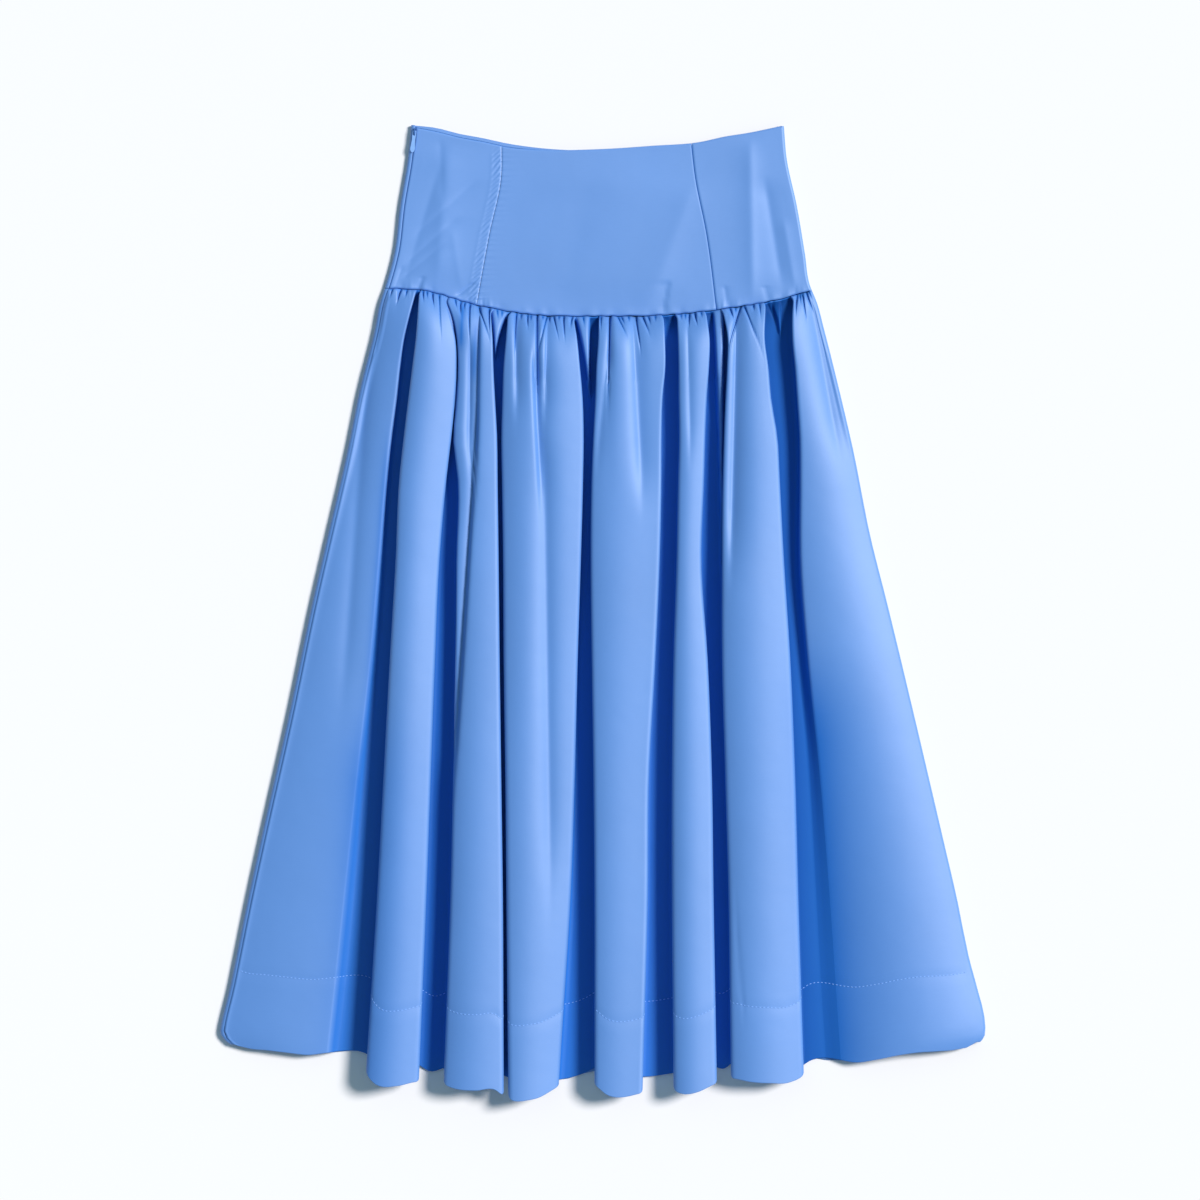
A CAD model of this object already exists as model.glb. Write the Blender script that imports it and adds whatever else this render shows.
import math
from collections import namedtuple

import bpy
import numpy as np
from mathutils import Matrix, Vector


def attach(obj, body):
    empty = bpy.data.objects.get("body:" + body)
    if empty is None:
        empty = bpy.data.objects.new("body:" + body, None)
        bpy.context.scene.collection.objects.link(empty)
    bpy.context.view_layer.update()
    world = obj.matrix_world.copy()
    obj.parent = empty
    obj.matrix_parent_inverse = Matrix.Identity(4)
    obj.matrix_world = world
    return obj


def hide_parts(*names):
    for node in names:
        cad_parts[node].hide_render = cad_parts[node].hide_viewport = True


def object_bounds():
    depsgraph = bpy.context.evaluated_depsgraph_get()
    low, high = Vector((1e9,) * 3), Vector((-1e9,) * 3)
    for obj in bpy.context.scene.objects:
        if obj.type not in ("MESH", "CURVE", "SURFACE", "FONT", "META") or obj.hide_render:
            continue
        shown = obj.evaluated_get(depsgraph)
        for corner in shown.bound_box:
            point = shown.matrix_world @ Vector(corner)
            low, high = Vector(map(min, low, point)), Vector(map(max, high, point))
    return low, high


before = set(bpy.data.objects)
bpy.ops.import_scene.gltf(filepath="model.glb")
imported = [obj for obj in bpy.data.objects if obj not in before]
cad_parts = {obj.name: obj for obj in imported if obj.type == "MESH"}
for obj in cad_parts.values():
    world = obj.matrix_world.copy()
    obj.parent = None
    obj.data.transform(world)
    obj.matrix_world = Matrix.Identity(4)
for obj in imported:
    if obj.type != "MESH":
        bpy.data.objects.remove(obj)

cad_low, cad_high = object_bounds()

# ---------------------------------------------------------- table top, light and camera
# The skirt lies front up on a plain pale table top. One wide soft light comes from the right
# and a weaker one from all round, and the camera looks straight down, as in the photograph.

MM = 0.001
FRAME_WIDTH = 1200 * 0.93 * MM          # 1200 pixels of 0.93 mm
CAMERA_HEIGHT = 4.5
CAMERA_AT = (-0.0028, 0.0115)
SENSOR_MM = 36.0
TABLE_HALF = 5.0
TABLE_DROP = 0.0003                     # the table's face, just under the cloth


def placed(name, data):
    """A new object in the scene."""
    thing = bpy.data.objects.new(name, data)
    bpy.context.scene.collection.objects.link(thing)
    return thing


def set_inputs(node, values):
    """Sets a node's inputs by name, where an underscore stands for a space."""
    for label, value in values.items():
        node.inputs[label.replace("_", " ")].default_value = value
    return node


def add_node(tree, kind, **values):
    """A new node with values for its inputs."""
    return set_inputs(tree.nodes.new(kind), values)


def join(tree, links):
    """Makes the links: each is a node and its output, then a node and its input."""
    for source, output, target, socket in links:
        tree.links.new(source.outputs[output], target.inputs[socket])


def new_finish(name, **values):
    """A new material with values for its shader's inputs. Returns it, its tree and its shader."""
    material = bpy.data.materials.new(name)
    material.use_nodes = True
    shader = material.node_tree.nodes["Principled BSDF"]
    return material, material.node_tree, set_inputs(shader, values)


def two_tones(tree, low, high):
    """A colour ramp between two colours."""
    tones = add_node(tree, "ShaderNodeValToRGB")
    for element, colour in zip(tones.color_ramp.elements, (low, high)):
        element.color = (*colour, 1)
    return tones


pale, pale_tree, pale_shader = new_finish("pale_table", Roughness=0.9, Specular_IOR_Level=0.1)
pale_grain = add_node(pale_tree, "ShaderNodeTexNoise", Scale=3.0)
pale_tones = two_tones(pale_tree, (0.96, 0.90, 0.88), (0.99, 0.93, 0.91))
join(pale_tree, (
    (pale_grain, "Fac", pale_tones, "Fac"),
    (pale_tones, "Color", pale_shader, "Base Color"),
))
table_mesh = bpy.data.meshes.new("table_top")
table_mesh.from_pydata(
    [(x * TABLE_HALF, y * TABLE_HALF, -TABLE_DROP) for x, y in ((-1, -1), (1, -1), (1, 1), (-1, 1))],
    [], [(0, 1, 2, 3)])
table_mesh.materials.append(pale)
table_top = placed("table_top", table_mesh)

key = bpy.data.lights.new("soft_key", "SUN")
key.energy = 3.55
key.angle = math.radians(16)
placed("soft_key", key).rotation_euler = Vector((1.0, 0.42, 1.15)).to_track_quat("Z", "Y").to_euler()

world = bpy.data.worlds.new("soft_studio")
world.use_nodes = True
set_inputs(world.node_tree.nodes["Background"], {"Color": (0.50, 0.80, 1.0, 1), "Strength": 0.33})
bpy.context.scene.world = world
bpy.context.scene.view_settings.view_transform = "Standard"

camera = bpy.data.cameras.new("camera")
camera.sensor_width = SENSOR_MM
camera.lens = SENSOR_MM * CAMERA_HEIGHT / FRAME_WIDTH
bpy.context.scene.camera = placed("camera", camera)
bpy.context.scene.camera.location = (*CAMERA_AT, CAMERA_HEIGHT)

# --------------------------------------------------------------------- front of the yoke
# Three flat panels of pressed cotton shape the hips: a wide one in the middle and one at each
# side. They are sewn to each other down two slanting seams, and the left one to the zip.

# Places on the flat garment are in millimetres: across from its centre line, and down from
# the corners of the waist. Side edges: depth, left edge across, right edge across.
SIDES = (
    (0, -178.5, 168.3), (31, -181.5, 171.0), (75, -188.8, 180.4), (120, -194.5, 188.0),
    (148, -202.0, 192.3), (165, -207.5, 199.0), (190, -212.3, 205.7), (245, -226.0, 219.5),
    (300, -237.2, 232.3), (385, -256.8, 249.3), (440, -269.5, 263.2), (552, -293.0, 290.2),
    (663, -318.0, 316.2), (719, -330.2, 329.2), (775, -341.5, 340.7), (803, -347.2, 348.3),
    (828, -353.4, 354.6), (838, -355.5, 355.6), (844, -355.8, 355.5), (850, -351.8, 352.6),
    (856, -344.5, 345.0),
)

# Waist: across, depth of the front's edge, depth of the back's edge.
WAIST = (
    (-178.5, 1.5, 0.0), (-155, 6.0, 2.5), (-133, 11.5, 8.0), (-111, 15.5, 12.0),
    (-88, 20.5, 17.0), (-60, 23.0, 21.0), (0, 22.5, 23.5), (46, 19.5, 21.5),
    (90, 16.0, 18.0), (113, 11.0, 13.0), (135, 7.5, 9.5), (168.5, 0.5, 2.0),
)

# Panel seams: depth, left seam across, right seam across.
PANEL_SEAMS = (
    (12, -94.0, 81.5), (50, -94.5, 86.0), (100, -105.0, 96.0), (180, -119.5, 106.5),
)

# Hip seam, where the gathered skirt joins the yoke: across, depth.
HIP_SEAM = (
    (-205, 151.5), (-165, 154.0), (-120, 166.5), (-75, 175.0), (0, 177.5), (70, 175.5),
    (120, 169.5), (165, 161.5), (200, 151.5),
)

WALL = 0.6              # shown thickness of the cloth
UNDER = 0.6             # middle of the cloth that lies on the table
YOKE = 5.4              # middle of the front yoke's cloth
CAD_WALL = 1.2          # thickness of the cloth in the solids
SEAM_GAP = 0.3          # distance between two pieces at a seam
HALF_GAP = SEAM_GAP / 2
SIDE_SEAM = 4.1         # left side seam's distance in from the edge
SIDE_TURN = 6.0         # how far the front runs on to the underside round its right edge
ZIP_OPENING = 2.1       # parting of the zip seam round the slider
ZIP_OPEN_TO, ZIP_CLOSED_FROM = 11.0, 32.0
SEAM_ROLL_WIDTH = 0.9   # distance in which a panel's edge rolls down into its seam
HIP_ROLL = 0.9          # how far the yoke rolls down at the hip seam
WAIST_ROLL = 1.1        # ... and at the waist
FLAT_EDGE_ROLL = 0.25   # ... and at the left side
SEAM_WAVE = 0.3         # how far the hip seam waves over the gathers
SEAM_LINE = 0.42        # width of the deeper colour along a seam
YOKE_SWELL = 1.5        # rise of the yoke's middle
YOKE_RUFFLE = 0.5       # height of its puckers above the hip seam
RIPPLE, TICK, RIDGE = 0.16, 0.32, 0.12      # heights of the puckers along the left panel seam
PUCKER_TURN = 1.15      # their turn in radians for each millimetre
YOKE_ROWS = 190

# How far each panel's left and right edges roll down into their seams, and their tone there.
Edges = namedtuple("Edges", "left_roll right_roll left_tone right_tone")

YOKE_EDGES = {
    "left": Edges(0.9, 0.5, 0.95, 0.0),
    "centre": Edges(0.15, 0.2, 0.0, 0.75),
    "right": Edges(0.5, 0.0, 0.7, 0.0),
}

# A soft fold pressed into the cloth: both ends, its drop (below zero for a ridge), and how
# far it spreads to its left and to its right.
Crease = namedtuple("Crease", "across_top depth_top across_end depth_end drop left right")

YOKE_CREASES = [Crease(*row) for row in (
    (136.5, 18, 139, 158, -1.7, 11, 9), (151, 55, 166, 146, 1.5, 8, 9),
    (168, 90, 178, 150, -0.7, 6, 6), (82, 60, 42, 168, -1.4, 26, 20),
    (61, 146, 56.5, 174, 0.9, 12, 1.2), (-14, 60, -42, 172, 0.7, 40, 30),
    (-152, 40, -186, 150, 0.8, 9, 7), (-145, 26, -153, 142, -2.0, 15, 24),
    (-121, 147, -136, 159, 1.1, 2, 4), (-167, 141, -172, 156, 1.0, 2.5, 1.5),
    (-187, 132, -194, 153, 0.7, 3, 3), (-151, 14, -149, 70, 0.5, 6, 5),
    (-122, 55, -172, 100, 0.6, 3, 12), (-138, 88, -178, 124, 0.65, 3, 12),
    (-150, 112, -186, 142, 0.55, 3, 8), (-140, 100, -132, 150, -0.4, 6, 9),
    (113, 150, 116, 170, 0.6, 3, 3), (150, 150, 153, 163, 0.6, 2, 4),
)]


def hermite(values, knots, heights):
    """Cubic curve through the knots, straight beyond both ends."""
    knots = np.asarray(knots, float)
    heights = np.asarray(heights, float)
    slopes = np.gradient(heights, knots)
    values = np.asarray(values, float)
    inside = np.clip(values, knots[0], knots[-1])
    index = np.clip(np.searchsorted(knots, inside) - 1, 0, len(knots) - 2)
    span = knots[index + 1] - knots[index]
    t = (inside - knots[index]) / span
    curve = ((1 + 2 * t) * (1 - t) ** 2 * heights[index]
             + t * (1 - t) ** 2 * span * slopes[index]
             + t * t * (3 - 2 * t) * heights[index + 1]
             - t * t * (1 - t) * span * slopes[index + 1])
    return curve + np.where(values < knots[0], slopes[0], slopes[-1]) * (values - inside)


def smooth(values, table, column):
    """Reads a table's column on a smooth curve through its rows."""
    return hermite(values, [row[0] for row in table], [row[column] for row in table])


def ramp(value, start, end):
    """Smooth step from 0 at start to 1 at end."""
    t = np.clip((np.asarray(value, float) - start) / (end - start), 0, 1)
    return t * t * (3 - 2 * t)


def bell(distance, width):
    """1 at no distance, falling off softly within about the width."""
    return np.exp(-(distance / width) ** 2)


def left_side(depth):
    return smooth(depth, SIDES, 1)


def right_side(depth):
    return smooth(depth, SIDES, 2)


def hip_seam(across):
    """Depth of the hip seam, which waves a little over the gathers."""
    return smooth(across, HIP_SEAM, 1) + SEAM_WAVE * np.sin(across * 0.38 + 2.2 * np.sin(across * 0.09))


def drops_of(creases, across, depth):
    """How far the creases lower the cloth at each place."""
    drops = np.zeros_like(across)
    for crease in creases:
        along = (depth - crease.depth_top) / (crease.depth_end - crease.depth_top)
        middle = crease.across_top + (crease.across_end - crease.across_top) * along
        apart = across - middle
        width = np.where(apart < 0, crease.left, crease.right)
        profile = np.exp(-np.sqrt((apart / width) ** 2 + 0.04) * 1.25 + 0.25)
        drops += crease.drop * profile * ramp(along, -0.12, 0.15) * (1 - ramp(along, 0.8, 1.15))
    return drops


def dense_ends(count, closeness):
    """Shares from 0 to 1, closer together at both ends."""
    even = np.linspace(0, 1, count)
    return even - closeness * np.sin(2 * math.pi * even) / (2 * math.pi)


def zip_gap(depth):
    """Parting of the zip seam, wide round the slider and closed below it."""
    return SEAM_GAP + (ZIP_OPENING - SEAM_GAP) * (1 - ramp(depth, ZIP_OPEN_TO, ZIP_CLOSED_FROM))


DEEP_BLUE = (0.002, 0.140, 0.560)       # the cloth's colour where it is drawn in
NAVY = (0.003, 0.018, 0.110)            # ... and where it is folded into a seam
SPECULAR = 0.75
WEAVE_DEPTH = 0.05 * MM
MIX_FROM, MIX_TO, MIX_RESULT = 6, 7, 2  # colour sockets of a mix node


def mix_towards(tree, colour):
    """A mix of a colour with a fixed one."""
    mix = add_node(tree, "ShaderNodeMix")
    mix.data_type = "RGBA"
    mix.inputs[MIX_TO].default_value = (*colour, 1)
    return mix


def cotton(name, colour):
    """Plain-weave cotton with a soft sheen: threads both ways, slubs and faint creasing.

    The attribute "tone" deepens the colour where the cloth is drawn in and light is lost.
    """
    material, tree, shader = new_finish(
        name, Roughness=0.55, IOR=1.6, Sheen_Weight=0.03, Sheen_Roughness=0.45)
    place = add_node(tree, "ShaderNodeTexCoord")
    weave = add_node(tree, "ShaderNodeMath")
    weave.operation = "MULTIPLY"
    for number, direction in enumerate(("X", "Y")):
        thread = add_node(tree, "ShaderNodeTexWave", Scale=700.0, Distortion=0.6, Detail=1.0)
        thread.bands_direction = direction
        join(tree, ((place, "UV", thread, "Vector"), (thread, "Fac", weave, number)))

    stretch = add_node(tree, "ShaderNodeMapping", Scale=(0.12, 1.0, 1.0))
    slubs = add_node(tree, "ShaderNodeTexNoise", Scale=900.0, Detail=2.0)
    wash = add_node(tree, "ShaderNodeTexNoise", Scale=7.0, Detail=3.0)
    mixed = add_node(tree, "ShaderNodeMath")
    mixed.operation = "MULTIPLY_ADD"
    mixed.inputs[1].default_value = 0.35
    faded = two_tones(tree, [c * 0.95 for c in colour], [min(c * 1.05, 1.0) for c in colour])
    faded.color_ramp.elements[0].position = 0.35

    drawn_in = add_node(tree, "ShaderNodeAttribute")
    drawn_in.attribute_name = "tone"
    deepened = mix_towards(tree, DEEP_BLUE)
    last_fifth = add_node(tree, "ShaderNodeMapRange", From_Min=0.8)
    darkest = mix_towards(tree, NAVY)
    gloss = add_node(tree, "ShaderNodeMath")
    gloss.operation = "MULTIPLY_ADD"
    gloss.inputs[1].default_value = -SPECULAR
    gloss.inputs[2].default_value = SPECULAR

    rumple = add_node(tree, "ShaderNodeTexNoise", Scale=22.0, Detail=2.0)
    rumple_bump = add_node(tree, "ShaderNodeBump", Distance=0.0012, Strength=0.35)
    weave_bump = add_node(tree, "ShaderNodeBump", Distance=WEAVE_DEPTH, Strength=0.35)
    join(tree, (
        (place, "UV", stretch, "Vector"),
        (stretch, "Vector", slubs, "Vector"),
        (place, "Object", wash, "Vector"),
        (slubs, "Fac", mixed, 0),
        (wash, "Fac", mixed, 2),
        (mixed, "Value", faded, "Fac"),
        (drawn_in, "Fac", deepened, "Factor"),
        (faded, "Color", deepened, MIX_FROM),
        (drawn_in, "Fac", last_fifth, "Value"),
        (last_fifth, "Result", darkest, "Factor"),
        (deepened, MIX_RESULT, darkest, MIX_FROM),
        (darkest, MIX_RESULT, shader, "Base Color"),
        (drawn_in, "Fac", gloss, 0),
        (gloss, "Value", shader, "Specular IOR Level"),
        (place, "Object", rumple, "Vector"),
        (rumple, "Fac", rumple_bump, "Height"),
        (weave, "Value", weave_bump, "Height"),
        (rumple_bump, "Normal", weave_bump, "Normal"),
        (weave_bump, "Normal", shader, "Normal"),
    ))
    return material


def cloth_piece(name, rows, wall, material):
    """A thin shell on rows of (across, depth, height, tone), with a UV map in metres of cloth.

    The upper rows may have FINE times as many columns as the lower ones.
    """
    grids = [np.asarray(row, float) for row in rows]
    count_across = len(grids[-1])
    coarse = np.array([grid[::(len(grid) - 1) // (count_across - 1)][:, :3] for grid in grids])
    steps = np.linalg.norm(np.diff(coarse, axis=1), axis=2)
    falls = np.linalg.norm(np.diff(coarse, axis=0), axis=2)
    u_coarse = np.concatenate([[0], np.cumsum(steps[len(rows) // 2])]) * MM
    v = -np.concatenate([[0], np.cumsum(falls.mean(axis=1))]) * MM
    starts = np.concatenate([[0], np.cumsum([len(grid) for grid in grids])])
    points, faces, corners = [], [], []
    for down, grid in enumerate(grids):
        points.append(np.stack([grid[:, 0], cad_high.y / MM - grid[:, 1], grid[:, 2]], 1) * MM)
        if down == len(grids) - 1:
            continue
        above, below = len(grid), len(grids[down + 1])
        ratio = (above - 1) // (below - 1)
        stride = (above - 1) / (count_across - 1)
        for column in range(below - 1):
            upper = [starts[down] + column * ratio + n for n in range(ratio + 1)]
            lower = starts[down + 1] + column
            faces.append((upper[0], lower, lower + 1, *reversed(upper[1:])))
            u = np.interp([(n - starts[down]) / stride for n in upper],
                          range(count_across), u_coarse)
            corners += [(u[0], v[down]), (u[0], v[down + 1]), (u[-1], v[down + 1])]
            corners += [(u[n], v[down]) for n in range(ratio, 0, -1)]
    mesh = bpy.data.meshes.new(name)
    mesh.from_pydata(np.concatenate(points).tolist(), [], faces)
    mesh.uv_layers.new(name="cloth").data.foreach_set("uv", np.array(corners).ravel())
    tones = np.concatenate([grid[:, 3] for grid in grids])
    mesh.attributes.new("tone", "FLOAT", "POINT").data.foreach_set("value", tones)
    mesh.materials.append(material)
    mesh.shade_smooth()
    piece = placed(name, mesh)
    shell = piece.modifiers.new("cloth thickness", "SOLIDIFY")
    shell.thickness = WALL * MM
    shell.offset = 0
    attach(piece, "garment")
    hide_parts(wall)
    return piece


def yoke_height(across, depth):
    """Height of the front yoke's cloth: soft folds, and small puckers above the hip seam."""
    above = hip_seam(across) - depth
    swell = YOKE_SWELL * bell(across - 4, 70) * ramp(depth, 20, 60) * ramp(above, 0, 40)
    ruffle = YOKE_RUFFLE * np.sin(across * 0.30 + 2 * np.sin(across * 0.11)) ** 3
    ruffle *= bell(above, 6)
    edges = ramp(across - left_side(depth), 4, 14) * ramp(right_side(depth) - across, 3, 12)
    folds = drops_of(YOKE_CREASES, across, depth) * ramp(depth - smooth(across, WAIST, 1), 0, 14)
    return YOKE + (swell + ruffle - folds) * edges


def pucker(across, depth):
    """Small ripples where the stitches of the left panel seam draw the cloth in."""
    apart = across - left_panel_seam(depth)
    phase = PUCKER_TURN * depth + 1.3 * np.sin(depth * 0.23)
    ripples = np.sin(phase) + 0.5 * np.sin(2 * PUCKER_TURN * depth + across * 0.2)
    ripples *= np.exp(-np.abs(apart) / np.where(apart < 0, 3.5, 6.0))
    ticks = np.sin(phase + 1.1 * apart) * np.exp(-((apart + 5) / 3.6) ** 4)
    ridge = bell(apart + 9.5, 1.4)
    return (RIPPLE * ripples + TICK * ticks + RIDGE * ridge) * ramp(depth, 18, 34)


def line_tone(distance):
    """Deeper colour in the last fraction of a millimetre before a seam."""
    return np.exp(-(distance / SEAM_LINE) ** 4)


def yoke_panel(left_edge, right_edge, columns, turned, edges):
    """Rows of one front panel between two edges, each a function of the depth."""
    rows = []
    steps = dense_ends(columns, 0.86)
    for share in dense_ends(YOKE_ROWS, 0.55):
        depth = np.full(columns, 20.0 + 130 * share)
        for _ in range(6):      # settles the row between the slanting edges
            across = left_edge(depth) + steps * (right_edge(depth) - left_edge(depth))
            top = smooth(across, WAIST, 1)
            depth = top + share * (hip_seam(across) - HALF_GAP - top)
        height = yoke_height(across, depth)
        from_left, from_right = across - across[0], across[-1] - across
        from_hip = hip_seam(across) - depth
        for distance, roll in ((from_left, edges.left_roll), (from_right, edges.right_roll),
                               (from_hip, HIP_ROLL), (depth - top, WAIST_ROLL)):
            height = height - roll * bell(distance, SEAM_ROLL_WIDTH)
        height = height + pucker(across, depth) * ramp(from_hip, 0, 6)
        tone = np.maximum(line_tone(from_hip), ramp(-across, 45, 80) * line_tone(0.7 * (depth - top)))
        tone = np.maximum(tone, edges.left_tone * line_tone(from_left))
        tone = np.maximum(tone, edges.right_tone * line_tone(from_right))
        row = np.stack([across, depth, height, tone], 1)
        if turned:
            row = np.concatenate([row, turned_edge(depth[-1])])
        rows.append(row)
    return rows


def turned_edge(depth, top_height=YOKE, steps=10, start=math.pi / 20):
    """The right side's turn, round the edge and on to the underside, from an angle on."""
    radius = (top_height - UNDER) / 2
    middle = float(right_side(depth)) - CAD_WALL / 2 - radius
    angles = np.linspace(math.pi / 2 - start, -math.pi / 2, steps)
    bend = [(middle + radius * math.cos(a), depth, UNDER + radius + radius * math.sin(a), 0)
            for a in angles]
    return np.array(bend + [(middle + radius - SIDE_TURN, depth, UNDER, 0)])


def left_panel_seam(depth):
    return smooth(depth, PANEL_SEAMS, 1)


def right_panel_seam(depth):
    return smooth(depth, PANEL_SEAMS, 2)


yoke_cotton = cotton("yoke_cotton", (0.127, 0.292, 0.680))

# For each panel its side, its left and its right edge, its columns of points and its flat size.
for side, left_edge, right_edge, columns, flat in (
        ("left",
         lambda depth: left_side(depth) + SIDE_SEAM + zip_gap(depth) / 2,
         lambda depth: left_panel_seam(depth) - HALF_GAP, 84, (0.088, 0.165)),
        ("centre",
         lambda depth: left_panel_seam(depth) + HALF_GAP,
         lambda depth: right_panel_seam(depth) - HALF_GAP, 130, (0.235, 0.160)),
        ("right",
         lambda depth: right_panel_seam(depth) + HALF_GAP,
         lambda depth: right_side(depth) - CAD_WALL / 2 - (YOKE - UNDER) / 2, 74, (0.112, 0.168))):
    panel_rows = yoke_panel(left_edge, right_edge, columns, side == "right", YOKE_EDGES[side])
    panel = cloth_piece("front_yoke_" + side, panel_rows, "yoke_front_" + side, yoke_cotton)

# ---------------------------------------------------------------------- back of the yoke
# One panel of the same pressed cotton lies on the table, turns over the left edge and meets
# the front at the zip. A sliver of it shows above the front's waist edge.

# Hem of the cloth that lies low: across, depth. Each fold hangs lower as it stands higher.
HEM = (
    (-354, 847.5), (-348, 852.5), (-338, 857.0), (-318, 859.0), (-297, 861.0),
    (-276, 863.0), (-255, 861.5), (-222, 862.0), (-209, 868.5), (-188, 870.5),
    (-171, 873.5), (-160, 879.5), (-145, 875.5), (-117, 873.0), (-100, 875.5), (-92, 883.5),
    (-84, 885.2), (-70, 885.4), (-56, 887.5), (-40, 887.0), (-15, 880.0), (-7, 876.0),
    (4, 881.0), (38, 884.5), (66, 881.0), (88, 877.0), (104, 875.5), (112, 877.0),
    (122, 870.5), (138, 868.3), (153, 869.7), (172, 875.0), (184, 874.5), (192, 869.8),
    (240, 869.5), (258, 864.5), (277, 859.0), (295, 856.5), (313, 857.3), (332, 857.9),
    (345, 855.0), (354, 848.5),
)

BACK_FLAT_COLUMNS = 40
BACK_BEND_COLUMNS = 8
BACK_TOP_COLUMNS = 6
SIDE_SEAM_TONE = 0.25
WAIST_SWELL = 2.2       # rise of the back's cloth just under the waist, where it tips to the light
BACK_RIPPLE, BACK_RIPPLE_LENGTH = 0.9, 40.0     # its ripples under the hip seam
BACK_YOKE_ROWS, BACK_SKIRT_ROWS = 48, 90


def back_section(depth, top_height):
    """Section of a back piece: flat underneath, then up and over the left edge to its seam."""
    radius = (top_height - UNDER) / 2
    outer = float(left_side(depth)) + CAD_WALL / 2
    right = float(right_side(depth)) - CAD_WALL / 2 - SIDE_TURN - SEAM_GAP
    seam = float(left_side(depth)) + SIDE_SEAM - HALF_GAP
    flat = np.linspace(right, outer + radius, BACK_FLAT_COLUMNS + 1)
    angles = np.linspace(-math.pi / 2, math.pi / 2, 2 * BACK_BEND_COLUMNS + 1)[1:]
    top = np.linspace(outer + radius, max(seam, outer + radius + 0.4), BACK_TOP_COLUMNS + 1)[1:]
    across = np.concatenate([flat, outer + radius - radius * np.cos(angles), top])
    height = np.concatenate([
        np.full(len(flat), UNDER), UNDER + radius + radius * np.sin(angles),
        np.full(len(top), top_height)])
    return across, height


def back_row(depth, top_height):
    """One row of a back piece whose columns each lie at their own depth."""
    across, height = back_section(depth[-1], top_height)
    flat = slice(0, BACK_FLAT_COLUMNS)
    share = (across[flat] - across[0]) / (across[BACK_FLAT_COLUMNS] - across[0])
    right = right_side(depth[flat]) - CAD_WALL / 2 - SIDE_TURN - SEAM_GAP
    left = left_side(depth[flat]) + across[BACK_FLAT_COLUMNS] - left_side(depth[-1])
    across[flat] = right + share * (left - right)
    tone = np.zeros(len(across))
    tone[-1] = SIDE_SEAM_TONE
    return np.stack([across, depth, height, tone], 1)


def seam_run(across_top, across_end):
    """Depths at which a skirt panel starts and ends: at the hip seam and at the hem."""
    return hip_seam(across_top) + HALF_GAP, smooth(across_end, HEM, 1)


SEAM_DEPTH_AT_SIDE, HEM_DEPTH_AT_SIDE = 152.0, 852.0

left_start, left_end = seam_run(left_side(SEAM_DEPTH_AT_SIDE) + SIDE_SEAM,
                                left_side(HEM_DEPTH_AT_SIDE) + SIDE_SEAM)
right_start, right_end = seam_run(right_side(SEAM_DEPTH_AT_SIDE) - CAD_WALL / 2,
                                  right_side(HEM_DEPTH_AT_SIDE) - CAD_WALL / 2)

back_rows = []
for share in dense_ends(BACK_YOKE_ROWS, 0.6):
    across, height = back_section(SEAM_DEPTH_AT_SIDE * share, YOKE)
    top = smooth(across, WAIST, 2)
    end = hip_seam(across) - HALF_GAP
    end[0] = right_start - SEAM_GAP
    end[BACK_FLAT_COLUMNS:] = left_start - SEAM_GAP
    row = back_row(top + share * (end - top), YOKE)
    row[-1, 0] -= (zip_gap(row[-1, 1]) - SEAM_GAP) / 2
    row[-1, 2] -= FLAT_EDGE_ROLL
    from_waist = row[:, 1] - smooth(row[:, 0], WAIST, 2)
    row[:, 2] += WAIST_SWELL * bell(from_waist - 6.5, 3.5) * (row[:, 2] < 1)
    back_rows.append(row)
yoke_back = cloth_piece("back_yoke", back_rows, "yoke_back", yoke_cotton)

# ------------------------------------------------------------- gathered front of the skirt
# A wide panel of crisp cotton is drawn up along the hip seam into dozens of small gathers.
# Below it falls in eight broad rounded folds with seven deep valleys between them.

# Depths of the columns of edges in the table of valleys.
STATIONS = (161, 179, 198, 226, 254, 291, 328, 403, 496, 607, 719, 830)

# A valley between two folds. left and right are its edges at the stations; then the height
# of the cloth at each edge near the hip and at the hem, how far each wall is tucked in under
# its edge there, the tone of its left and of its right side, and the number of columns of
# points on half of its floor.
Valley = namedtuple("Valley",
                    "left right left_heights right_heights left_tucks right_tucks tones floor")

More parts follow.
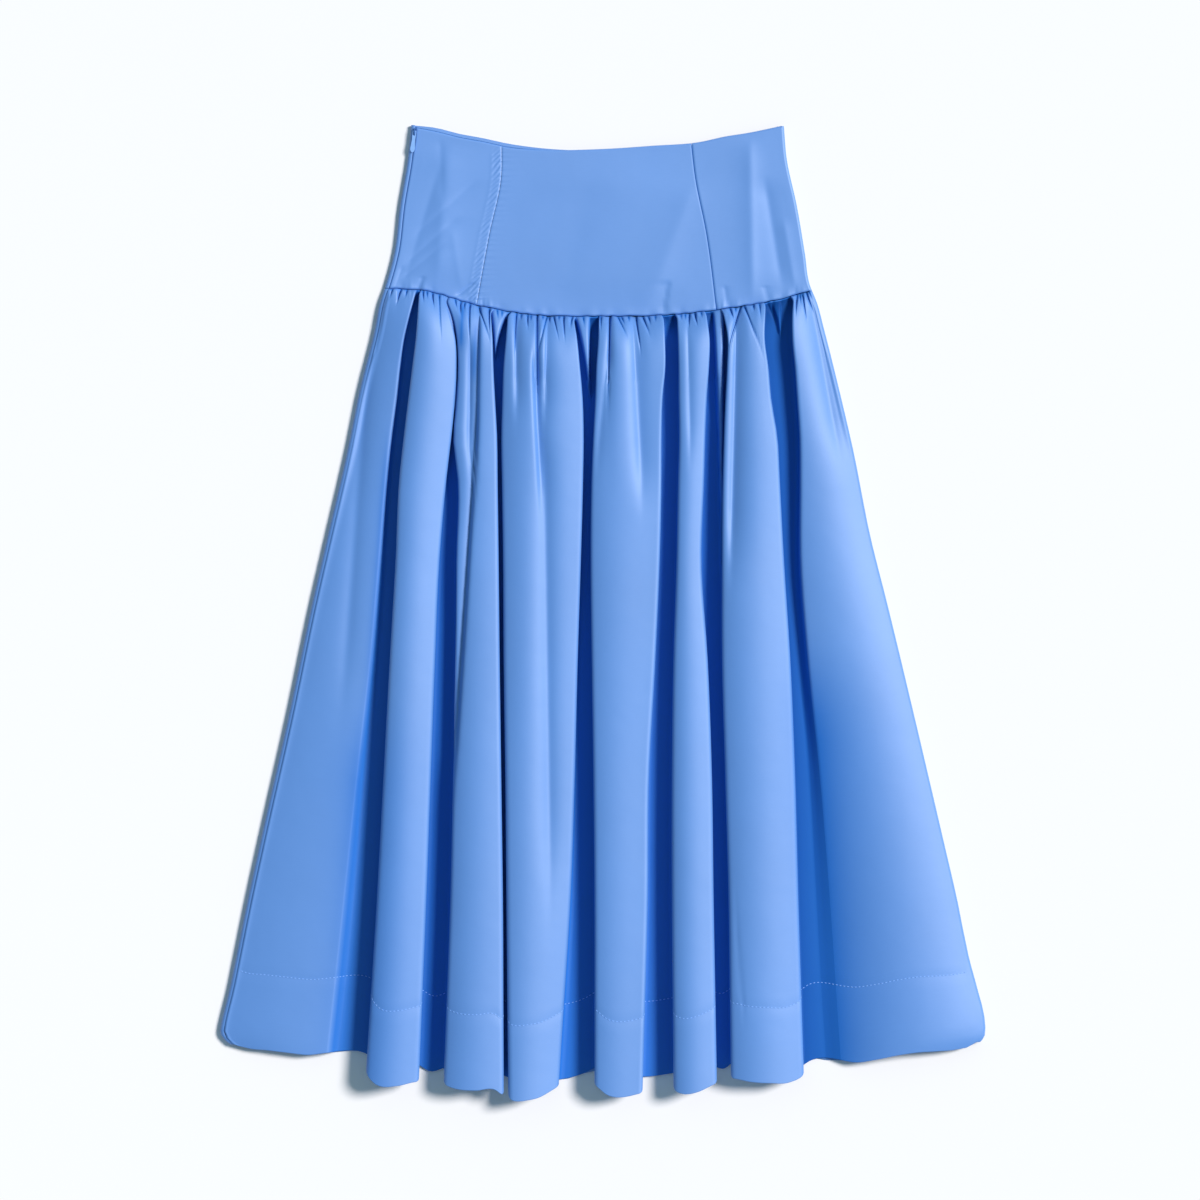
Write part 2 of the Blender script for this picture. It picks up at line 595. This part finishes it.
VALLEYS = (
    Valley((-175, -179.5, -184, -188, -191, -196, -200, -206.5, -215, -228, -240, -252),
           (-171, -172, -173.5, -177, -180.5, -185, -189, -192.5, -198, -204, -210, -217),
           (12, 10), (24, 25), (1, -9), (4, 5), (0.76, 0.76), 4),
    Valley((-147.5, -141.5, -136.8, -135.4, -136.7, -140.2, -144.5, -151, -155, -159, -163, -167.5),
           (-145.8, -139.2, -135.8, -134.7, -136, -139, -135, -136.5, -137.5, -139.5, -142, -146),
           (20, 24), (19, 24), (3, 4), (3, 4), (0.85, 0.8), 3),
    Valley((-104.5, -103.5, -102, -101, -99.5, -97.5, -97, -96, -95, -93.5, -92, -91.5),
           (-87.5, -88.5, -90, -92.5, -93.5, -94.5, -94, -93, -92.5, -91, -90, -89),
           (24, 26), (24, 27), (4, 4), (4, 4), (0.8, 0.8), 3),
    Valley((-27.5, -27, -24, -21, -18.5, -17.5, -18, -20, -23, -26, -30, -37),
           (-3.5, -4, -4.5, -6.5, -7.5, -9.5, -11, -12, -11, -9.5, -8.5, -8.5),
           (24, 18), (24, 25), (4, 1), (4, 4), (0.8, 0.8), 4),
    Valley((56, 56.5, 57.5, 58, 55.5, 54.5, 54.5, 53, 49, 43, 42, 39),
           (68, 68.5, 69, 69.5, 69.5, 70, 69, 67.5, 64.5, 63, 63, 64),
           (23, 24), (21, 24), (4, 4), (4, 4), (0.75, 0.78), 4),
    Valley((95, 96.5, 99, 98.5, 96.5, 95, 94, 91.5, 97.5, 101.5, 103, 105),
           (108.5, 112, 115, 114.5, 113, 111.5, 110.5, 109.5, 109.5, 112.5, 115.5, 117),
           (20, 24), (23, 23), (4, 4), (4, 4), (0.8, 0.8), 5),
    Valley((151.5, 150.5, 150, 153.5, 156, 162, 164, 168, 174, 178.5, 181.5, 185),
           (176.5, 175, 175, 177.5, 179.5, 182, 182.5, 183, 190.5, 202, 211, 218.5),
           (22, 20), (19, 7), (4, 3), (2, -14), (0.88, 0.84), 5),
)
TOP_COLUMNS = (20, 20, 38, 42, 36, 22, 34, 32)      # across each fold's top, left to right
CROWNS = (0.035, 0.10, 0.09, 0.085, 0.055, 0.105, 0.09, 0.085)   # its rise as a share of its width
SKEWS = (0.0, 0.4, 0.3, 0.3, 0.6, 0.4, 0.3, 0.0)    # how far its crest leans to the left
FINE = 3                # times as many columns near the hip seam as below

VALLEY_FLOOR = 2.3      # middle of the front cloth in its valleys
SIDE = 7.0              # ... and at the skirt's sides
SHOULDER_RADII = (1.3, 3.2)     # radius of a fold's edge near the hip seam and far below it
SHOULDER_LENGTH = 180.0         # distance in which it grows
BASE_RADIUS = 3.0               # radius at a wall's foot
WALL_COUNTS = (1, 2, 4)     # columns round a wall's foot, up the wall and round its shoulder
TURN_STEPS = 10
TURN_START = 0.45       # angle from straight up at which the right side's turn begins
PUFF_LENGTH = 16.0      # distance in which the folds rise below the hip seam
FLOOR_LENGTH = 1.5      # ... and in which the valleys between them fall
SPREAD_LENGTH = 3.0     # distance in which the gathered columns draw together into walls
SPREAD_SHARE = 0.12
SEAM_DIP = 2.0          # how far the gathered edge dips in under the yoke's edge
SEAM_DIP_LENGTH = 0.8
SEAM_TONE_LENGTH = 0.8  # width of the deeper colour along the gathered edge
SIDE_RIM, SIDE_RIM_WIDTH = 0.7, 1.6    # ridge of the front along its left side seam
SIDE_STRIP = 6.0        # plain strip beside that ridge
FOLD_HEIGHT = 22.0      # usual height of the folds' edges
MOUTH_TONE, MOUTH_LENGTH = 0.94, 16.0   # deeper tone of the valleys just under the hip seam
SUNK_FROM, SUNK_TO = 0.22, 0.55     # shares of the folds' height in which the tone sets in
SIDE_COLUMNS = 5        # columns at each side that stay plain
GATHERED_WALLS = 0.35   # share of the gathers' height on the valleys' walls and floors
NEAR_SEAM = 14.0        # distance in which the long creases reach the valleys too
HEM_DROP, HEM_DROP_FROM, HEM_DROP_TO = 0.8, 8.0, 32.0   # the hem hangs lower where it is high
HEM_ALLOWANCE = 70.0    # width of the hem's turn-up
HEM_GROOVE, HEM_GROOVE_WIDTH = 0.2, 1.0     # groove that its stitches press into the cloth

MEASURED_LENGTH, MEASURED_SECTIONS = 770.0, 420     # sections that the columns are read from
HEM_SECTION = 700.0     # the section that stands for the hem where its depths are worked out

# Rows of points: their distances below the hip seam, then even rows, then those above the hem.
TOP_ROWS = (0, 0.4, 0.9, 1.6, 2.6, 3.8, 5.2, 6.8, 8.5, 10.3, 12.2, 14.2, 16.4, 18.8, 21.4, 24.2, 27.2,
            30.5, 34, 38, 42.5, 47.5, 53, 59)
MIDDLE_ROWS = 28
HEM_ROWS = (80, 71.5, HEM_ALLOWANCE, 68.5, 58, 46, 34, 23, 13, 6, 2, 0.6, 0)

# A small gather that starts at the hip seam: its place, how far down it runs, how deep it
# is drawn in, and how far it leans across on its way.
Gather = namedtuple("Gather", "across length drop lean")

GATHERS = [Gather(*row) for row in (
    (-200.9, 10, 1.8, -2), (-195.4, 7, 1.3, -2), (-187.5, 11, 2.2, -3), (-182, 6, 1.0, -1),
    (-167.4, 9, 1.8, 1), (-163.6, 6, 1.1, 0.5), (-158.6, 11, 2.2, 1.5), (-152.2, 34, 0.9, 2),
    (-137.6, 7, 1.6, 1.5), (-132.3, 11, 2.0, 0), (-128.3, 7, 1.3, -0.5), (-123.7, 30, 2.1, 0),
    (-115.7, 24, 1.7, 9), (-105.7, 18, 2.4, 0.5), (-98.6, 7, 1.6, 1), (-94, 5, 1.2, 0),
    (-80.5, 34, 1.7, -1), (-76, 5, 1.1, 0), (-70.2, 11, 2.2, 0.5), (-67, 5, 1.3, 0),
    (-61.4, 70, 2.7, 0.3), (-56, 4, 1.2, 0), (-52, 32, 1.7, -7), (-50, 6, 1.7, 0.5),
    (-46, 18, 1.5, 4), (-41, 4, 1.1, 0), (-36.7, 18, 2.2, 1), (-28.5, 9, 1.7, -1.5),
    (-18.5, 8, 1.2, 1), (-2, 12, 1.3, 0), (6.6, 70, 2.8, -1.5), (13.2, 17, 1.4, 8),
    (16.5, 7, 1.2, 3), (23.5, 5, 1.2, 0.5), (30.4, 28, 2.3, 4), (36.4, 15, 1.7, 6),
    (41.7, 7, 1.2, 2), (48.5, 5, 1.1, 0), (64.3, 8, 2.0, 2), (72.4, 4, 1.2, 0), (76.3, 5, 1.2, 0),
    (80.2, 11, 2.0, -0.5), (85, 10, 1.9, 2), (91, 5, 1.2, 0.5), (99.5, 10, 1.8, 3),
    (117.5, 9, 2.1, 3), (123, 5, 1.2, 0), (128, 36, 2.3, -12), (130.7, 38, 1.4, 14),
    (139.5, 5, 1.6, 0.5), (145, 11, 1.1, 1), (152.5, 17, 2.4, 7), (158, 6, 1.2, 1),
    (180.5, 14, 2.2, -1.5), (182.8, 7, 1.5, 0.5), (185, 20, 1.8, 3), (188.5, 14, 1.8, 5),
    (191.5, 10, 1.2, 5),
)]
GATHER_WALLS = 1.9, 0.9         # width of its lit left wall and of its dark right one
GATHER_START = 0.8      # distance in which the gathers rise from the hip seam
GATHER_FLARE, GATHER_FLARE_LENGTH = 1.5, 4.5    # how much wider both walls are at the seam
GATHER_DEPTH = 1.15     # depth of its groove as a share of its drop
GATHER_DEEPER, GATHER_DEEPER_LENGTH = 0.9, 6.0  # how much deeper that is at the seam
GATHER_SPREAD = 3.2     # width of the soft hollow round the groove
GATHER_PUFF = 3.0       # rise of the puffed cloth between the gathers
GATHER_PUFF_LENGTH = 55.0

# A tongue of gathered cloth that stands in the mouth of a valley: its two edges at the hip
# seam, its tip, and its height as a share of the folds' height beside it.
Tongue = namedtuple("Tongue", "left right tip depth_end height")

TONGUES = (
    Tongue(-156, -136, -134, 330, 0.85),
    Tongue(-105.5, -86, -100, 220, 0.95),
    Tongue(-26.4, -11.6, -12.5, 264, 0.85),
    Tongue(101.5, 113, 111, 470, 0.74),
    Tongue(154.5, 166, 165, 200, 0.45),
)

FOLD_CREASES = [Crease(*row) for row in (
    (-219, 215, -240, 520, 2.4, 10, 9), (-114.5, 170, -117, 300, 4.2, 11, 1.2),
    (-117, 285, -137, 590, 5.5, 9, 1.2), (-123, 205, -124, 310, 3.6, 4, 4),
    (-61, 168, -60.5, 250, 3.0, 0.9, 2.2), (-81, 168, -80, 262, 3.0, 2, 9),
    (-51, 168, -54, 268, 3.2, 2, 9), (-64.5, 222, -58, 340, 5.5, 1.2, 10),
    (-54, 310, -49, 700, 4.6, 11, 11), (6, 172, 5, 225, 2.6, 0.9, 3),
    (5, 210, -5, 310, 1.8, 4, 6), (27, 168, 36, 335, 5.0, 6, 13), (78, 168, 81, 300, 2.2, 4, 7),
    (124, 170, 118.5, 400, 6.0, 5, 14), (192, 160, 218, 300, 3.8, 10, 8),
    (123, 743, 130, 821, 0.9, 1.0, 1.0),
)]

# Soft shade where the cloth turns away into a valley: as creases, with the tone as the drop.
SHADES = [Crease(*row) for row in (
    (-201, 300, -221, 560, 0.5, 3.5, 6), (-222, 560, -241, 940, 0.76, 17, 26),
    (192, 510, 221, 940, 0.82, 14, 34), (-130, 166, -131.5, 207, 0.75, 2.5, 2.5),
    (-118, 186, -119.5, 236, 0.5, 3, 3),
)]


def straight(start, end, count):
    """For each section, points from just after start up to end."""
    steps = (np.arange(1, count + 1) / count)[None, :, None] if count else np.zeros((1, 0, 1))
    return start[:, None] + (end - start)[:, None] * steps


def rounded_path(corners, radii, counts):
    """Sections through the corners, each inner one rounded, as runs of (across, height)."""
    runs = [corners[0][:, None]]
    here = corners[0]
    for number in range(1, len(corners) - 1):
        corner, after = corners[number], corners[number + 1]
        inward, outward = corner - here, after - corner
        length_in = np.maximum(np.linalg.norm(inward, axis=1), 1e-6)
        length_out = np.maximum(np.linalg.norm(outward, axis=1), 1e-6)
        inward, outward = inward / length_in[:, None], outward / length_out[:, None]
        turn = np.arctan2(inward[:, 0] * outward[:, 1] - inward[:, 1] * outward[:, 0],
                          (inward * outward).sum(axis=1))
        reach = radii[number] * np.abs(np.tan(turn / 2))
        reach = np.minimum(reach, np.minimum(0.9 * length_in, 0.48 * length_out))[:, None]
        bend_start, bend_end = corner - inward * reach, corner + outward * reach
        runs.append(straight(here, bend_start, counts[2 * number - 2]))
        t = np.linspace(0, 1, counts[2 * number - 1] + 1)[None, 1:, None]
        runs.append((1 - t) ** 2 * bend_start[:, None] + 2 * t * (1 - t) * corner[:, None]
                    + t ** 2 * bend_end[:, None])
        here = bend_end
    runs.append(straight(here, corners[-1], counts[-1]))
    return runs


def between(pair, depth):
    """A value that changes from the hip to the hem."""
    return pair[0] + (pair[1] - pair[0]) * ramp(depth, STATIONS[0], STATIONS[-1])


def front_sections(below):
    """The front's points at each distance below the hip seam: across, height, and deepness.

    deepness is 0 on the folds' rounded tops and the valleys' tone on their walls and floors.
    """
    rise = 1 - np.exp(-below / PUFF_LENGTH)
    floor = YOKE + (VALLEY_FLOOR - YOKE) * (1 - np.exp(-below / FLOOR_LENGTH))
    side_height = YOKE + (SIDE - YOKE) * rise
    small, large = SHOULDER_RADII
    shoulder = large + (small - large) * np.exp(-below / SHOULDER_LENGTH)
    runs, depths = [], []

    def pair(across, height):
        return np.stack([across + 0 * below, height + 0 * below], 1)

    def valley_side(number, on_right):
        """Edge, foot and middle of a valley, at its depth along the seam."""
        valley = VALLEYS[number]
        start = (valley.right if on_right else valley.left)[0]
        depth = hip_seam(start) + HALF_GAP + below
        left = hermite(depth, STATIONS, valley.left) - WALL / 2
        right = hermite(depth, STATIONS, valley.right) + WALL / 2
        left_foot = left - between(valley.left_tucks, depth) * rise
        right_foot = right + between(valley.right_tucks, depth) * rise
        heights = valley.right_heights if on_right else valley.left_heights
        height = YOKE + (between(heights, depth) - YOKE) * rise
        middle = (left_foot + right_foot) / 2
        edge, foot = (right, right_foot) if on_right else (left, left_foot)
        return pair(edge, height), pair(foot, floor), pair(middle, floor)

    for number, top_columns in enumerate(TOP_COLUMNS):
        if number == 0:
            left = left_side(left_start + below) + SIDE_SEAM + HALF_GAP
            corners = [pair(left, side_height), pair(left + SIDE_STRIP, side_height)]
            radii, counts, marks = [0, 0], [3 * FINE, 0], [(0, 0), (0, 0)]
        else:
            edge, foot, middle = valley_side(number - 1, True)
            corners = [middle, foot, edge]
            radii = [0, BASE_RADIUS, shoulder]
            counts = [FINE * n for n in (VALLEYS[number - 1].floor, *WALL_COUNTS)]
            first, last = VALLEYS[number - 1].tones
            marks = [((first + last) / 2, last), (last, last), (last, last), (0, 0)]
            left = edge[:, 0]
        counts = counts + [FINE * top_columns]
        marks = marks + [(0, 0)]
        if number == len(TOP_COLUMNS) - 1:
            right = right_side(right_start + below) - CAD_WALL / 2
            bend = (side_height - UNDER) / 2
            corners += [pair(right - bend, side_height)]
        else:
            edge, foot, middle = valley_side(number, False)
            corners += [edge, foot, middle]
            radii += [shoulder, BASE_RADIUS]
            counts += [FINE * n for n in (*reversed(WALL_COUNTS), VALLEYS[number].floor)]
            first, last = VALLEYS[number].tones
            marks += [(0, 0), (first, first), (first, first), (first, (first + last) / 2)]
            right = edge[:, 0]
        width = (right - left)[:, None]
        path = rounded_path(corners, radii + [0], counts)
        if number == 0:
            runs.append(path[0])
            depths.append([0])
        for run, mark in zip(path[1:], marks):
            if not mark[1]:
                share = np.clip((run[..., 0] - left[:, None]) / width, 0, 1)
                run = run.copy()
                lean = 1 + SKEWS[number] * (1 - 2 * share)
                run[..., 1] += CROWNS[number] * width * rise[:, None] * 4 * share * (1 - share) * lean
            runs.append(run)
            depths.append(np.linspace(*mark, run.shape[1]))
    points = np.concatenate(runs, axis=1)
    return points[..., 0], points[..., 1], np.concatenate(depths)


def gather_relief(across, below):
    """Height and tone that the gathers add: puffed cloth, drawn in to a sharp groove at each.

    A groove's left wall is wide and catches the light; its right one is steep and dark.
    """
    start = 1 - np.exp(-below / GATHER_START)
    relief = GATHER_PUFF * start * bell(below, GATHER_PUFF_LENGTH)
    relief += 0.28 * start * np.exp(-below / 4) * np.sin(across * 1.25 + 2.5 * np.sin(across * 0.21))
    tone = np.zeros_like(relief)
    for gather in GATHERS:
        along = below / gather.length
        apart = across - gather.across - gather.lean * np.clip(along, 0, 1.4)
        wider = 1 - 0.4 * np.clip(along, 0, 1) + GATHER_FLARE * np.exp(-below / GATHER_FLARE_LENGTH)
        wall = np.where(apart < 0, *GATHER_WALLS) * wider * math.hypot(1, gather.lean / gather.length)
        fade = start * (1 - ramp(along, 0.5, 1.4))
        groove = np.clip(1 - np.abs(apart) / wall, 0, 1) * fade
        soft = np.exp(-(apart / (GATHER_SPREAD * (1 + 0.5 * along))) ** 2 - (along / 1.5) ** 2)
        groove *= GATHER_DEPTH + GATHER_DEEPER * np.exp(-below / GATHER_DEEPER_LENGTH)
        relief -= gather.drop * (groove + 0.4 * soft * start)
        strength = np.clip(0.70 + 0.16 * gather.drop + 0.4 * np.exp(-below / 4), 0, 1)
        shade = np.exp(-np.abs(apart / wall * np.where(apart < 0, 4, 1.1)) ** 2.5)
        tone = np.maximum(tone, strength * fade * shade)
    return relief, tone


def crest_height(below):
    """Usual height of the folds' shoulders, still rising near the hip seam."""
    return YOKE + (FOLD_HEIGHT - YOKE) * (1 - np.exp(-below / PUFF_LENGTH))


def tongue_height(across, depth, below):
    """Height of the tongues of cloth in the valleys' mouths, zero away from them."""
    height = np.zeros_like(across)
    for tongue in TONGUES:
        start = hip_seam((tongue.left + tongue.right) / 2)
        along = np.clip((depth - start) / (tongue.depth_end - start), 0, 1)
        bow = 1 - (1 - along) ** 1.7
        left = tongue.left + (tongue.tip - tongue.left) * bow
        right = tongue.right + (tongue.tip - tongue.right) * bow + 0.01
        share = np.clip(2 * (across - left) / (right - left) - 1, -1, 1)
        dome = np.sqrt(1 - share ** 4) * (1 - along) ** 0.3
        height = np.maximum(height, tongue.height * dome * crest_height(below))
    return height


def front_rows():
    """Points of the front panel's middle surface, a row at a time, and its hem's stitch row."""
    measured = MEASURED_LENGTH * np.linspace(0, 1, MEASURED_SECTIONS) ** 1.5
    across_stack, height_stack, deepness = front_sections(measured)
    is_top = deepness == 0
    count = across_stack.shape[1]

    def section(stack, below):
        """Every column of a stack at its own distance below the hip seam."""
        return np.array([np.interp(below[c], measured, stack[:, c]) for c in range(count)])

    seam_even = np.linspace(across_stack[0, 0], across_stack[0, -1], count)
    seam_across = across_stack[0] + SPREAD_SHARE * (seam_even - across_stack[0])
    hem_section = np.full(count, HEM_SECTION)
    end_height = section(height_stack, hem_section)
    seam_depth, low_hem = seam_run(seam_across, section(across_stack, hem_section))
    drop = HEM_DROP * (end_height - VALLEY_FLOOR)
    hem_depth = low_hem + drop * ramp(end_height, HEM_DROP_FROM, HEM_DROP_TO)
    seam_depth[0], hem_depth[0] = left_start, left_end
    seam_depth[-1], hem_depth[-1] = right_start, right_end
    total = hem_depth - seam_depth

    middle = np.linspace(0, 1, MIDDLE_ROWS + 2)[1:-1] ** 1.3
    distances = [np.full(count, float(d)) for d in TOP_ROWS]
    distances += [TOP_ROWS[-1] + s * (total - HEM_ROWS[0] - TOP_ROWS[-1]) for s in middle]
    distances += [total - h for h in HEM_ROWS]
    plain_sides = ramp(np.arange(count), 0, SIDE_COLUMNS)
    plain_sides = plain_sides * plain_sides[::-1]

    rows = []
    for below in distances:
        across, height = section(across_stack, below), section(height_stack, below)
        spread = np.linspace(across[0], across[-1], count)
        across = across + (spread - across) * SPREAD_SHARE * bell(below, SPREAD_LENGTH)
        depth = seam_depth + below
        on_top = np.maximum(is_top, bell(below, NEAR_SEAM)) * plain_sides
        height = height - drops_of(FOLD_CREASES, across, depth) * on_top
        tongues = tongue_height(across, depth, below)
        height = np.maximum(height, tongues * ~is_top)
        relief, tone = gather_relief(across, below)
        crest = crest_height(below)
        mouth = np.exp(-below / 4) * (tongues == 0)
        sunk = np.maximum(ramp((crest - height) / crest, SUNK_FROM, SUNK_TO), mouth)
        deeper = (MOUTH_TONE - deepness) * bell(below, MOUTH_LENGTH)
        tone = np.maximum(tone, sunk * plain_sides * (deepness + deeper) * (deepness > 0))
        tone = np.maximum(tone, np.exp(-(below / SEAM_TONE_LENGTH) ** 4))
        tone = np.maximum(tone, drops_of(SHADES, across, depth))
        height = height + relief * plain_sides * np.maximum(is_top, GATHERED_WALLS)
        height = height + SIDE_RIM * bell(across - across[0], SIDE_RIM_WIDTH)
        height = height - SEAM_DIP * bell(below, SEAM_DIP_LENGTH)
        from_stitches = total - below - HEM_ALLOWANCE
        height = height - HEM_GROOVE * bell(from_stitches, HEM_GROOVE_WIDTH) * plain_sides
        row = np.stack([across, depth, height, tone], 1)
        if len(rows) >= len(TOP_ROWS):
            row = row[::FINE]
            turn = turned_edge(depth[-1], height[-1], TURN_STEPS, TURN_START)
        else:
            turn = turned_edge(depth[-1], height[-1], FINE * TURN_STEPS + FINE - 1, TURN_START)
        rows.append(np.concatenate([row, turn]))
    return rows, rows[HEM_ROWS.index(HEM_ALLOWANCE) - len(HEM_ROWS)]


skirt_cotton = cotton("skirt_cotton", (0.105, 0.268, 0.655))
front_grid, front_stitch_row = front_rows()
skirt_front = cloth_piece("gathered_front", front_grid, "skirt_front", skirt_cotton)

# -------------------------------------------------------------- gathered back of the skirt
# The back panel lies flat on the table under the front. It turns over the left edge, where
# the side seam runs down just inside the outline.

skirt_back_rows = []
section_top, section_end = back_section(SEAM_DEPTH_AT_SIDE, YOKE), back_section(HEM_DEPTH_AT_SIDE, SIDE)
back_start, back_end = seam_run(section_top[0], section_end[0])
back_start[0], back_end[0] = right_start, right_end
back_start[BACK_FLAT_COLUMNS:], back_end[BACK_FLAT_COLUMNS:] = left_start, left_end
for share in dense_ends(BACK_SKIRT_ROWS, 0.7):
    depth = back_start + share * (back_end - back_start)
    rise = 1 - math.exp(-(depth[-1] - left_start) / PUFF_LENGTH)
    row = back_row(depth, YOKE + (SIDE - YOKE) * rise)
    below = row[:, 1] - back_start
    ripple = 0.5 - 0.5 * np.cos(row[:, 0] * 0.62 + 1.7 * np.sin(row[:, 0] * 0.07))
    row[:, 2] += BACK_RIPPLE * ripple * bell(below, BACK_RIPPLE_LENGTH) * (row[:, 2] < 1)
    row[-1, 2] -= FLAT_EDGE_ROLL
    skirt_back_rows.append(row)
skirt_back = cloth_piece("gathered_back", skirt_back_rows, "skirt_back", skirt_cotton)

# -------------------------------------------------------------------------- the hem's stitches
# One row of lockstitch in matching thread holds the 70 mm turn-up, all along the front.

STITCH_PITCH = 3.6 * MM
STITCH_LENGTH = 2.6 * MM
STITCH_WIDTH = 0.8 * MM
STITCH_LIFT = 0.05      # the thread's middle, in millimetres over the cloth's face


def patterned(name, pattern, scale, low, high, **values):
    """A finish whose colour runs between two tones in a fine pattern. Returns the pattern too."""
    material, tree, shader = new_finish(name, **values)
    place = add_node(tree, "ShaderNodeTexCoord")
    texture = add_node(tree, pattern, Scale=scale)
    tones = two_tones(tree, low, high)
    join(tree, (
        (place, "Object", texture, "Vector"),
        (texture, "Fac", tones, "Fac"),
        (tones, "Color", shader, "Base Color"),
    ))
    return material, texture


def thread_material():
    """Mercerised sewing thread, a little lighter than the cloth, with a fine twist."""
    material, twist = patterned("sewing_thread", "ShaderNodeTexWave", 900.0,
                                (0.20, 0.40, 0.86), (0.30, 0.52, 0.95), Roughness=0.45)
    twist.bands_direction = "DIAGONAL"
    return material


def stitch_tree():
    """Stitches along a line: resampled, one rounded thread at each point, turned along it."""
    tree = bpy.data.node_groups.new("stitches", "GeometryNodeTree")
    tree.interface.new_socket("Geometry", in_out="INPUT", socket_type="NodeSocketGeometry")
    tree.interface.new_socket("Geometry", in_out="OUTPUT", socket_type="NodeSocketGeometry")
    given = add_node(tree, "NodeGroupInput")
    line = add_node(tree, "GeometryNodeMeshToCurve")
    spaced = add_node(tree, "GeometryNodeResampleCurve")
    spaced.mode = "LENGTH"
    set_inputs(spaced, {"Length": STITCH_PITCH})
    thread = add_node(tree, "GeometryNodeMeshUVSphere", Segments=6, Rings=4, Radius=0.5)
    along = add_node(tree, "GeometryNodeInputTangent")
    turn = add_node(tree, "FunctionNodeAlignRotationToVector")
    turn.axis = "X"
    put = add_node(tree, "GeometryNodeInstanceOnPoints",
                   Scale=(STITCH_LENGTH, STITCH_WIDTH, STITCH_WIDTH))
    real = add_node(tree, "GeometryNodeRealizeInstances")
    finish = add_node(tree, "GeometryNodeSetMaterial", Material=thread_material())
    result = add_node(tree, "NodeGroupOutput")
    join(tree, (
        (given, "Geometry", line, "Mesh"),
        (line, "Curve", spaced, "Curve"),
        (along, "Tangent", turn, "Vector"),
        (spaced, "Curve", put, "Points"),
        (thread, "Mesh", put, "Instance"),
        (turn, "Rotation", put, "Rotation"),
        (put, "Instances", real, "Geometry"),
        (real, "Geometry", finish, "Geometry"),
        (finish, "Geometry", result, "Geometry"),
    ))
    return tree


def stitched(name, points):
    """Runs the tree on a line of points and keeps the stitches as a plain mesh."""
    guide_mesh = bpy.data.meshes.new(name + "_guide")
    guide_mesh.from_pydata(points, [(n, n + 1) for n in range(len(points) - 1)], [])
    guide = placed(name + "_guide", guide_mesh)
    guide.modifiers.new(name, "NODES").node_group = stitch_tree()
    evaluated = guide.evaluated_get(bpy.context.evaluated_depsgraph_get())
    mesh = bpy.data.meshes.new_from_object(evaluated)
    mesh.shade_smooth()
    bpy.data.objects.remove(guide)
    piece = placed(name, mesh)
    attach(piece, "garment")


lift = WALL / 2 + STITCH_LIFT
stitched("hem_stitches", [
    (across * MM, cad_high.y - depth * MM, (height + lift) * MM)
    for across, depth, height in front_stitch_row[2:-TURN_STEPS - 2, :3]])

# ----------------------------------------------------------------------------------- the zip
# An invisible zip closes the left side: a ribbed tape inside the seam, and a small enamelled
# slider whose teardrop pull tab lies down over the seam and turns on the slider's bridge.

SLIDER_BLUE = (0.06, 0.16, 0.45)
TAB_BLUE = (0.26, 0.46, 0.86)


def enamel_material(name, colour):
    """Glossy enamel over cast metal, a little worn and uneven."""
    return patterned(name, "ShaderNodeTexNoise", 400.0, [c * 0.9 for c in colour],
                     [min(1, c * 1.15) for c in colour], Roughness=0.28, Coat_Weight=0.5,
                     Coat_Roughness=0.1)[0]


def tape_material():
    """Finely ribbed polyester tape."""
    material, ribs = patterned("zip_tape", "ShaderNodeTexWave", 500.0, (0.02, 0.08, 0.30),
                               (0.03, 0.11, 0.38), Roughness=0.7)
    ribs.bands_direction = "Y"
    return material


def dress_node(node, material):
    """Gives a CAD node that is shown as it is its finish."""
    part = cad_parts[node]
    part.data.materials.clear()
    part.data.materials.append(material)


dress_node("zip_tape", tape_material())
dress_node("zip_slider", enamel_material("slider_enamel", SLIDER_BLUE))
dress_node("zip_pull", enamel_material("tab_enamel", TAB_BLUE))
